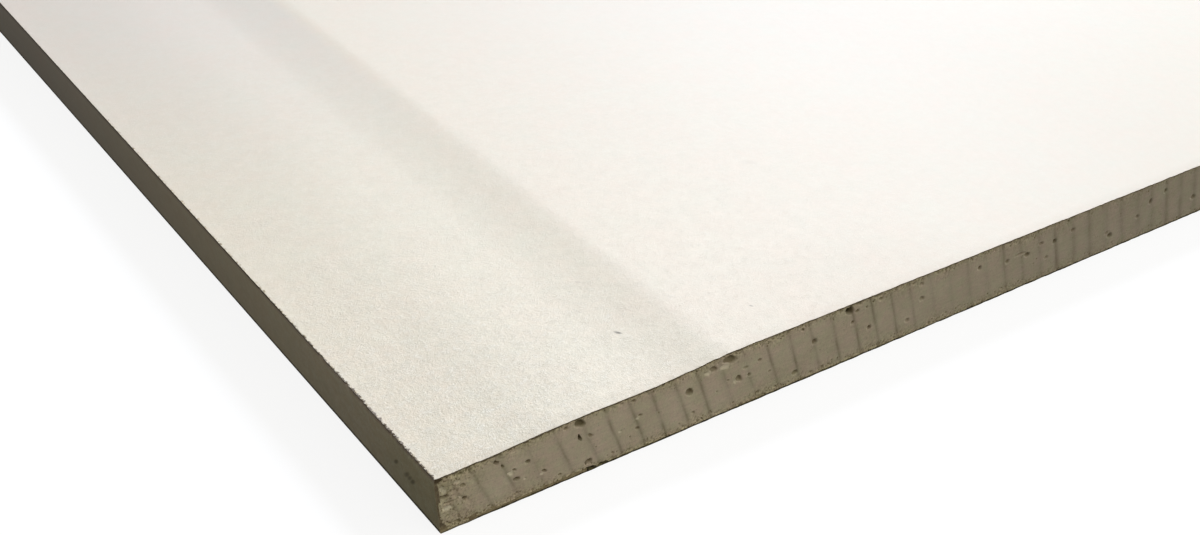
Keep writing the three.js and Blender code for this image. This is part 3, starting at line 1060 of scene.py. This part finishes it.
def long_edge_painted_shade(nodes, spot, tone):
    """Painted light and shade on the long edge, which is ivory paper in shade: it is paler near the
    cut end and cooler along the sheet, and darker and more olive at its very end. It has a painted
    shadow under the crease and along its foot. The rim of the face above it gets painted shade
    where the notches of the worn fold reach in."""
    below = nodes.math("LESS_THAN", spot.z, CREASE_Z - 0.25 * MM)
    beside = nodes.math("GREATER_THAN", spot.across, FOOT_X - 0.35 * MM)
    outside = nodes.times(below, beside)
    # Painted light on the side, which is in shade: paler near the cut end and cooler along the
    # sheet
    along = nodes.span(spot.from_cut, 50 * MM, 170 * MM)
    side = nodes.tint(tone, along, (0.90, 0.92, 1.0), (1.12, 1.12, 1.14))
    tone = nodes.mix(outside, tone, side)
    # Painted shade: darker and more olive within 22 mm of the cut end
    painted_end_shade = nodes.times(outside, nodes.span(spot.from_cut, 22 * MM, 4 * MM))
    tone = nodes.tint(tone, painted_end_shade, (0.84, 0.86, 0.77))
    # Painted shadow under the crease: a brown strip below the fold
    painted_fold_shadow = nodes.times(
        nodes.span(spot.z, CREASE_Z - 1.0 * MM, CREASE_Z - 0.4 * MM),
        nodes.span(spot.from_cut, 24 * MM, 4 * MM, 0.65, 1.0),
        outside,
    )
    tone = nodes.tint(tone, painted_fold_shadow, (0.68, 0.60, 0.66))
    # Painted shade on the face's rim where the notches of the worn fold reach in
    teeth = nodes.noise(nodes.turned(spot.place, (0, 0, 0), (600, 2200, 600)), 1.0, 2.0, 0.65)
    bite = nodes.times(
        nodes.span(teeth, 0.40, 0.66, 0.10 * MM, 0.60 * MM),
        nodes.span(spot.from_cut, 56 * MM, 24 * MM, 0.1, 1.0),
    )
    painted_notch_shade = nodes.math("GREATER_THAN", nodes.math("ADD", spot.across, bite), EDGE_REACH)
    above = nodes.math("GREATER_THAN", spot.z, CREASE_Z - 0.3 * MM)
    tone = nodes.tint(tone, nodes.times(painted_notch_shade, above), (0.24, 0.2, 0.16))
    # Painted contact shadow along the foot
    painted_foot_shadow = nodes.times(outside, nodes.span(spot.z, 0.95 * MM, 0.5 * MM, 0.0, 0.95))
    return nodes.mix(painted_foot_shadow, tone, FOOT_SHADOW_COLOUR)


def face_paper_material():
    """Ivory face paper: clouds, mottle and pale fibres, a few dark specks and flecks, and painted
    light and shade: slow changes of colour over the face, a darkened taper, and a worn long edge
    with painted shade along its side, under its fold, at its notches and along its foot."""
    material, nodes, shader, place = new_material("face_paper")
    pulp = nodes.group(FIBRES, {"Vector": place})
    spot = PaperSpot(nodes, place)
    away = nodes.span(spot.from_cut, 40 * MM, 300 * MM)
    tone, clear = ivory_pulp(nodes, spot, pulp)
    tone = nodes.mix(face_dirt(nodes, spot), tone, FACE_DIRT)
    tone, plain = face_painted_light_and_stain(nodes, spot, tone, away)
    tone = taper_painted_shade(nodes, spot, tone, away, plain)
    tone = long_edge_painted_shade(nodes, spot, tone)
    fuzz = nodes.noise(place, 1900, 2.0, 0.55)
    height = nodes.math("ADD", nodes.times(pulp["Fibres"], 0.9), fuzz)
    height = nodes.times(nodes.math("ADD", height, pulp["Mottle"]), clear)
    bump = (0.38, 0.06 * MM)
    set_finish(nodes, shader, tone, height, bump, roughness=0.62, specular=1.0)
    return material


# ---- Other finishes -------------------------------------------------------------------------

# Dark and pale fibres of the papers' cut edges. The back paper's are darker, partly its own colour
# and partly painted shade where it meets the floor
FACE_CUT_TONES = (0.15, 0.115, 0.068), (0.25, 0.205, 0.125)
BACK_CUT_TONES = (0.035, 0.028, 0.018), (0.15, 0.13, 0.06)

DARK_PULP, PALE_PULP = (0.30, 0.25, 0.18), (0.38, 0.32, 0.23)
BACK_FIBRE, BACK_FLECK = (0.5, 0.43, 0.32), (0.12, 0.1, 0.07)

EDGE_GYPSUM, FIELD_GYPSUM = (0.625, 0.545, 0.40), (0.475, 0.418, 0.315)
YELLOW_SPECKLE, BROWN_SPECKLE = (0.80, 0.72, 0.42), (0.16, 0.12, 0.055)
PORE_SHADE = (0.16, 0.125, 0.06)
PALE_CHIP_LIGHT = (0.92, 0.85, 0.64)
OLIVE_VOID_SHADE, BLACK_VOID_SHADE = (0.15, 0.12, 0.05), (0.02, 0.016, 0.008)


def paper_cut_material(name, dark, pale):
    """Cut edge of a paper: raw grey-brown fibres, mottled between a dark and a pale tone. It is
    paler at the back, darkened at the very foot by painted shade, and dark where the near left
    corner is crushed."""
    material, nodes, shader, place = new_material(name)
    ragged = nodes.noise(place, 1500, 3.0, 0.65)
    tone = nodes.mix(nodes.span(ragged, 0.38, 0.64), dark, pale)
    z = nodes.axes(place)[2]
    tone = nodes.tint(tone, nodes.span(z, 1.5 * MM, 1.0 * MM), (1.6, 1.6, 1.5))
    # Painted shade at the very foot, where the edge meets the floor
    tone = nodes.tint(tone, nodes.span(z, 0.35 * MM, 0.1 * MM), (0.5, 0.5, 0.5))
    centre = (-HALF_WIDTH + 0.8 * MM, -HALF_LENGTH, CREASE_Z - 0.6 * MM)
    crushed = nodes.blot(place, centre, (1.0 * MM, 1.0 * MM, 0.7 * MM))
    tone = nodes.tint(tone, crushed, (0.5, 0.45, 0.4))
    set_finish(nodes, shader, tone, ragged, bump=(0.6, 0.1 * MM), roughness=0.9, specular=0.2)
    return material


def back_paper_material():
    """Grey-brown back paper of recycled pulp, with darker and paler fibres."""
    material, nodes, shader, place = new_material("back_paper")
    pulp = nodes.group(FIBRES, {"Vector": place})
    tone = nodes.mix(pulp["Clouds"], DARK_PULP, PALE_PULP)
    tone = nodes.mix(nodes.times(pulp["Fibres"], 0.4), tone, BACK_FIBRE)
    flecks = nodes.group(SPECKS, {"Vector": place, "Scale": 240, "Share": 0.2, "Radius": 0.08})
    tone = nodes.mix(nodes.times(flecks["Mask"], 0.5), tone, BACK_FLECK)
    bump = (1.0, 0.1 * MM)
    set_finish(nodes, shader, tone, pulp["Fibres"], bump, roughness=0.85, specular=0.25)
    return material


def gypsum_material():
    """Cast gypsum on a cut end: beige grey with slow patches, fine scores and grain, paler near the
    long edges as painted light, yellow and brown speckles where it is coarse, and darker there
    partly by painted shade along the papers. Painted shade darkens each facet towards its marks,
    the saw grooves and the pores, and turns the voids olive to black; painted light makes the
    shallow chips pale."""
    material, nodes, shader, place = new_material("gypsum")
    across = nodes.math("ABSOLUTE", nodes.axes(place)[0])
    inset = nodes.math("SUBTRACT", HALF_WIDTH, across)
    # Painted light: paler near the long edges, dimming from 50 to 160 mm in
    inward_dimming = nodes.span(inset, 50 * MM, 160 * MM)
    tone = nodes.mix(inward_dimming, EDGE_GYPSUM, FIELD_GYPSUM)
    # The facets' own tone and lumps, with painted shade towards their marks
    facet = nodes.span(nodes.attribute("tone"), -1.0, 1.0)
    tone = nodes.tint(tone, facet, (1.095, 1.095, 1.085), (0.915, 0.915, 0.93))
    scored = nodes.turned(place, (0, 0.8, 0), (450, 450, 2600))
    grain = nodes.noise(place, 2200, 4.0, 0.7)
    for pattern, high, low in (
        (nodes.noise(place, 160, 3.0, 0.55), (1.04, 1.03, 1.03), (0.96, 0.95, 0.93)),
        (nodes.noise(place, 550, 2.0, 0.6), (0.97, 1.01, 0.94), (1.03, 0.98, 0.99)),
        (nodes.noise(scored, 1.0, 2.0), (1.04, 1.04, 1.04), (0.96, 0.96, 0.955)),
        (grain, (1.06, 1.06, 1.06), (0.94, 0.94, 0.93)),
    ):
        tone = nodes.tint(tone, nodes.span(pattern, 0.35, 0.65), high, low)

    coarse = nodes.attribute("coarse")
    # Darker and yellower where coarse: the crumbled gypsum's colour, and painted shade along the
    # papers
    tone = nodes.tint(tone, coarse, (0.94, 0.925, 0.85), (1.0, 1.0, 1.03))
    pitted = nodes.noise(place, 2500, 2.0, 0.6)
    yellow = nodes.times(coarse, nodes.span(pitted, 0.53, 0.62), 0.65)
    tone = nodes.mix(yellow, tone, YELLOW_SPECKLE)
    brown = nodes.times(coarse, nodes.span(pitted, 0.46, 0.38), 0.85)
    tone = nodes.mix(brown, tone, BROWN_SPECKLE)
    # Painted shade in small pores
    pores = nodes.group(SPECKS, {"Vector": place, "Scale": 1300, "Share": 0.6, "Radius": 0.17})
    pore_shade = nodes.times(pores["Mask"], nodes.span(coarse, 0.0, 0.6, 0.15, 0.8))
    tone = nodes.mix(pore_shade, tone, PORE_SHADE)

    # Painted shade in the saw grooves
    tone = nodes.tint(tone, nodes.attribute("groove"), (0.58, 0.565, 0.54))
    # Painted light on the pale chips, and painted shade in the voids, olive to black
    shade = nodes.attribute("shade")
    for start, end, share, colour in (
        (0.0, -1.0, 0.7, PALE_CHIP_LIGHT),
        (0.0, 0.75, 0.92, OLIVE_VOID_SHADE),
        (0.6, 1.0, 0.95, BLACK_VOID_SHADE),
    ):
        tone = nodes.mix(nodes.span(shade, start, end, 0.0, share), tone, colour)
    height = nodes.math("SUBTRACT", grain, nodes.times(pores["Mask"], 0.5))
    set_finish(nodes, shader, tone, height, bump=(0.4, 0.1 * MM), roughness=0.95, specular=0.2)
    return material


face_paper_finish = face_paper_material()
face_cut_finish = paper_cut_material("face_paper_cut", *FACE_CUT_TONES)
back_cut_finish = paper_cut_material("back_paper_cut", *BACK_CUT_TONES)
back_paper_finish = back_paper_material()
gypsum_finish = gypsum_material()


# ---- The sheet's pieces ---------------------------------------------------------------------


def place_piece(piece, node):
    """Says what the piece stands for: it rides with the sheet and replaces the node."""
    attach(piece, "root")
    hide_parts(node)


def crushed_edge(outline):
    """Extra thickness that the face paper's cut edge shows, for each fine column, as a sum of
    eased steps: a little on the face, more towards the long edges, on them and along their
    feet, and a bell at each of the two top corners, where the crease is crushed."""
    x, z = (refine(values, FRAY_STEPS) for values in outline)
    past_foot, past_edge = np.abs(x) - FOOT_X, np.abs(x) - HALF_WIDTH
    near_side = ease((past_edge + 30 * MM) / (12 * MM)) * 0.1 * MM
    side = ease((past_foot + 0.5 * MM) / (0.8 * MM)) * 0.2 * MM
    foot = ease(2 - z / MM) * ease((past_foot + 14 * MM) / (9 * MM)) * 0.4 * MM
    corner = bell(np.hypot(past_edge + 0.3 * MM, z - CREASE_Z + 0.3 * MM), 0.8 * MM)
    return 0.07 * MM + near_side + side + foot + corner * 0.45 * MM


wrap_outside = wrap_outline(0)
wrap_inside = wrap_outline(FACE_PAPER)

# The column at the middle of the left fold, and how many on either side of it get fine rows
fold_top = int(np.argmin(np.hypot(wrap_outside[0] + HALF_WIDTH, wrap_outside[1] - CREASE_Z)))
FOLD_BELOW, FOLD_ABOVE = 9, 10

face_paper = paper_shell(
    "face_paper_sheet",
    wrap_outside,
    wrap_inside,
    seed=101,
    materials=[face_paper_finish, face_cut_finish],
    thicker=crushed_edge(wrap_outside),
    fold=(fold_top - FOLD_BELOW, fold_top + FOLD_ABOVE, fold_top),
)
place_piece(face_paper, "face_paper")

TUFTS, FIBRES_PER_TUFT = 150, 6
TUFT_STRETCH = 120 * MM  # how far the tufts reach along the fold
TUFT_SCATTER = 0.11 * MM  # of the fibres along the fold
TUFT_TURN, FIBRE_TURN = 0.6, 0.3  # scatter of the headings of tufts and of fibres, in radians
FIBRE_STATIONS, FIBRE_SIDES = 5, 3
FIBRE_RADIUS = 0.028 * MM
FIBRE_LENGTHS = (0.2, 0.6)  # millimetres
FIBRE_INSETS = (0.1, 0.45)  # from the long edge to where a fibre starts, in millimetres
FIBRE_RISE = 0.07  # at most, in millimetres
FIBRE_DROOP = 0.08 * MM


def fold_fibres():
    """Loose fibres at the worn fold next to the near cut end, in small tufts: thin tubes that
    rise a little from the pressed face as half a sine does, cross the notches outwards, droop
    with the square of the way along, and taper. They crowd towards the cut end."""
    rng = np.random.default_rng(91)
    count = TUFTS * FIBRES_PER_TUFT
    tuft_place = TUFT_STRETCH * rng.uniform(0, 1, TUFTS) ** 1.9 + 0.5 * MM
    from_cut = np.repeat(tuft_place, FIBRES_PER_TUFT)
    from_cut = np.maximum(from_cut + rng.normal(0, TUFT_SCATTER, count), 0.1 * MM)[:, None]
    length = rng.uniform(*FIBRE_LENGTHS, (count, 1)) * MM
    heading = np.repeat(rng.normal(0, TUFT_TURN, TUFTS), FIBRES_PER_TUFT)[:, None]
    heading = heading + rng.normal(0, FIBRE_TURN, (count, 1))
    inset = rng.uniform(*FIBRE_INSETS, (count, 1)) * MM
    t = np.linspace(0, 1, FIBRE_STATIONS)
    y = np.maximum(from_cut + length * np.sin(heading) * t, FIBRE_RADIUS) - HALF_LENGTH
    x = np.minimum(EDGE_REACH - inset + length * np.cos(heading) * t, EDGE_REACH - FIBRE_RADIUS)
    rise = rng.uniform(0, FIBRE_RISE, (count, 1)) * MM * np.sin(np.pi * t)
    z = CREASE_Z - pressed(-x, y) + (rise - FIBRE_DROOP * t**2)
    slender = FIBRE_RADIUS * (1 - 0.7 * t)[:, None]
    turn = 2 * np.pi * np.arange(FIBRE_SIDES) / FIBRE_SIDES
    points = np.stack((
        slender * np.cos(turn) * np.sin(heading)[..., None] - x[..., None],
        y[..., None] + slender * np.cos(turn) * np.cos(heading)[..., None],
        z[..., None] + slender * np.sin(turn),
    ), axis=-1)
    index = np.arange(points.size // 3).reshape(points.shape[:-1])
    ahead = np.roll(index, -1, axis=2)
    sides = np.stack((index[:, :-1], ahead[:, :-1], ahead[:, 1:], index[:, 1:]), axis=-1)
    faces = [sides.reshape(-1, 4), index[:, 0, ::-1], index[:, -1]]
    return solid_from("fold_fibres", points.reshape(-1, 3), faces, [face_paper_finish])


place_piece(fold_fibres(), "face_paper")


BACK_PITCH = 1.8 * MM  # of the back paper's columns over the fine stretch
BACK_COLUMNS = 120  # beyond it


def back_outlines():
    """Outer and inner outlines of the back paper: flat, with its edges skived to the ramp. Its
    columns are close together up to the end of the fine stretch."""
    half = HALF_WIDTH - BACK_PAPER_INSET
    columns = np.concatenate((
        np.arange(-half, -half + FINE_WIDTH, BACK_PITCH),
        np.linspace(-half + FINE_WIDTH, half, BACK_COLUMNS),
    ))
    inner = columns * (half - LAP_RAMP) / half
    return (columns, np.zeros_like(columns)), (inner, np.full_like(columns, BACK_PAPER))


back_paper = paper_shell(
    "back_paper_sheet",
    *back_outlines(),
    seed=301,
    materials=[back_paper_finish, back_cut_finish],
)
place_piece(back_paper, "back_paper")

# What each cut end shows: its voids, its saw marks and the seed of its relief
near_voids = np.concatenate((
    np.array(NAMED_VOIDS) * [MM, MM, MM, MM, MM, 1],
    scattered_voids(7, 0, FINE_WIDTH, crowded=0.95, largest=0.24 * MM),
    scattered_voids(8, FINE_WIDTH, SHEET_WIDTH, crowded=0.7, largest=0.4 * MM),
))
NEAR_CUT = (near_voids, NAMED_MARKS, 21)
far_voids = scattered_voids(11, 0, SHEET_WIDTH, crowded=0.7, largest=0.4 * MM)
FAR_CUT = (far_voids, (), 57)

# Blocks of the core: name, side along Y, first and last distance from the left long edge,
# pitch of the columns, rows over the height, and cut end
for name, end, span, pitch, row_count, cut in (
    ("core_near_corner", -1, (0, 72 * MM), 0.11 * MM, 106, NEAR_CUT),
    ("core_near_left", -1, (72 * MM, 136 * MM), 0.16 * MM, 76, NEAR_CUT),
    ("core_near_middle", -1, (136 * MM, FINE_WIDTH), 0.2 * MM, 60, NEAR_CUT),
    ("core_near_right", -1, (FINE_WIDTH, SHEET_WIDTH), 0.6 * MM, 32, NEAR_CUT),
    ("core_far", 1, (0, SHEET_WIDTH), 0.8 * MM, 28, FAR_CUT),
):
    place_piece(core_block(name, end, span, pitch, row_count, *cut), "gypsum_core")


# ---- Camera, floor and light ----------------------------------------------------------------

FRAME_WIDTH = 1200  # pixels
FOCAL_PIXELS = 1455.5
SENSOR_WIDTH = 36  # millimetres
YAW, PITCH, ROLL = (math.radians(angle) for angle in (39.69, 32.79, 5.69))
CORNER = Vector((-FOOT_X, -HALF_LENGTH, 0))  # foot of the sheet's near left corner
CAMERA_FROM_CORNER = Vector((-83.39, -130.15, 146.76)) * MM

FLOOR_REACH = 30  # metres to each side
FLOOR_GAP = 0.05 * MM  # below the sheet, so that the two don't flicker
FLOOR_GLOW, FLOOR_GREY = 0.88, (0.17, 0.17, 0.17)  # together white where the floor is lit
FLOOR_BOUNCE = (0.06, 0.05, 0.035)
SURROUND_COLOUR, SURROUND_STRENGTH = (1.0, 0.97, 0.83), 0.21


def add_camera():
    """The camera near the corner, looking down along the given yaw and pitch, then rolled."""
    look = Vector((
        math.sin(YAW) * math.cos(PITCH),
        math.cos(YAW) * math.cos(PITCH),
        -math.sin(PITCH),
    ))
    right = Vector((math.cos(YAW), -math.sin(YAW), 0))
    up = right.cross(look)
    rolled_right = math.cos(ROLL) * right + math.sin(ROLL) * up
    rolled_up = math.cos(ROLL) * up - math.sin(ROLL) * right
    camera = bpy.data.objects.new("camera", bpy.data.cameras.new("camera"))
    camera.data.sensor_width = SENSOR_WIDTH
    camera.data.lens = FOCAL_PIXELS / FRAME_WIDTH * SENSOR_WIDTH
    camera.data.clip_start = 5 * MM
    camera.data.clip_end = 100
    turn = Matrix((rolled_right, rolled_up, -look)).transposed()
    camera.matrix_world = Matrix.Translation(CORNER + CAMERA_FROM_CORNER) @ turn.to_4x4()
    bpy.context.scene.collection.objects.link(camera)
    bpy.context.scene.camera = camera


def bare_nodes(owner):
    """The node helper of a material or world whose node tree is emptied."""
    owner.use_nodes = True
    owner.node_tree.nodes.clear()
    return Nodes(owner.node_tree)


def add_floor():
    """A pale floor that shows white to the camera where it is lit and keeps a soft shadow, and
    that sends only a little warm light back up to the object."""
    mesh = bpy.data.meshes.new("floor")
    corners = np.array([(-1, -1, 0), (1, -1, 0), (1, 1, 0), (-1, 1, 0)]) * FLOOR_REACH
    mesh.from_pydata((corners - (0, 0, FLOOR_GAP)).tolist(), [], [(0, 1, 2, 3)])
    floor = bpy.data.objects.new("floor", mesh)
    bpy.context.scene.collection.objects.link(floor)
    material = bpy.data.materials.new("floor")
    nodes = bare_nodes(material)
    glow = nodes.add("ShaderNodeEmission", {"Color": (1, 1, 1), "Strength": FLOOR_GLOW})
    lit = nodes.add("ShaderNodeBsdfDiffuse", {"Color": FLOOR_GREY})
    shown = nodes.add("ShaderNodeAddShader", {0: glow.outputs[0], 1: lit.outputs[0]})
    bounce = nodes.add("ShaderNodeBsdfDiffuse", {"Color": FLOOR_BOUNCE})
    surface = nodes.for_camera(shown.outputs[0], bounce.outputs[0])
    nodes.add("ShaderNodeOutputMaterial", {"Surface": surface})
    mesh.materials.append(material)


def add_world():
    """A dim warm surround that lights the object, shown as white to the camera."""
    world = bpy.data.worlds.new("surround")
    nodes = bare_nodes(world)
    white = nodes.add("ShaderNodeBackground", {"Color": (1, 1, 1), "Strength": 1.0})
    dim = {"Color": SURROUND_COLOUR, "Strength": SURROUND_STRENGTH}
    dim = nodes.add("ShaderNodeBackground", dim)
    surface = nodes.for_camera(white.outputs[0], dim.outputs[0])
    nodes.add("ShaderNodeOutputWorld", {"Surface": surface})
    bpy.context.scene.world = world


def add_sun(name, towards, share, width, colour=(1, 1, 1)):
    """A distant lamp of this angular width in degrees, seen in this direction, that gives a
    level surface this share of the light at which a colour renders as it is written."""
    towards = Vector(towards).normalized()
    lamp = bpy.data.lights.new(name, "SUN")
    lamp.energy = share * math.pi / towards.z
    lamp.angle = math.radians(width)
    lamp.color = colour
    sun = bpy.data.objects.new(name, lamp)
    sun.rotation_mode = "QUATERNION"
    sun.rotation_quaternion = towards.to_track_quat("Z", "Y")
    bpy.context.scene.collection.objects.link(sun)


add_camera()
add_floor()
add_world()
add_sun("key", towards=(0.95, 0.85, 1.0), share=0.52, width=14, colour=(0.93, 1.0, 1.17))
add_sun("side", towards=(2.1, -0.05, 1.0), share=0.18, width=20)
add_sun("front_fill", towards=(0.3, -1.0, 0.52), share=0.122, width=60)
add_sun("left_fill", towards=(-1.0, -0.15, 0.3), share=0.011, width=60)
bpy.context.scene.view_settings.view_transform = "Standard"
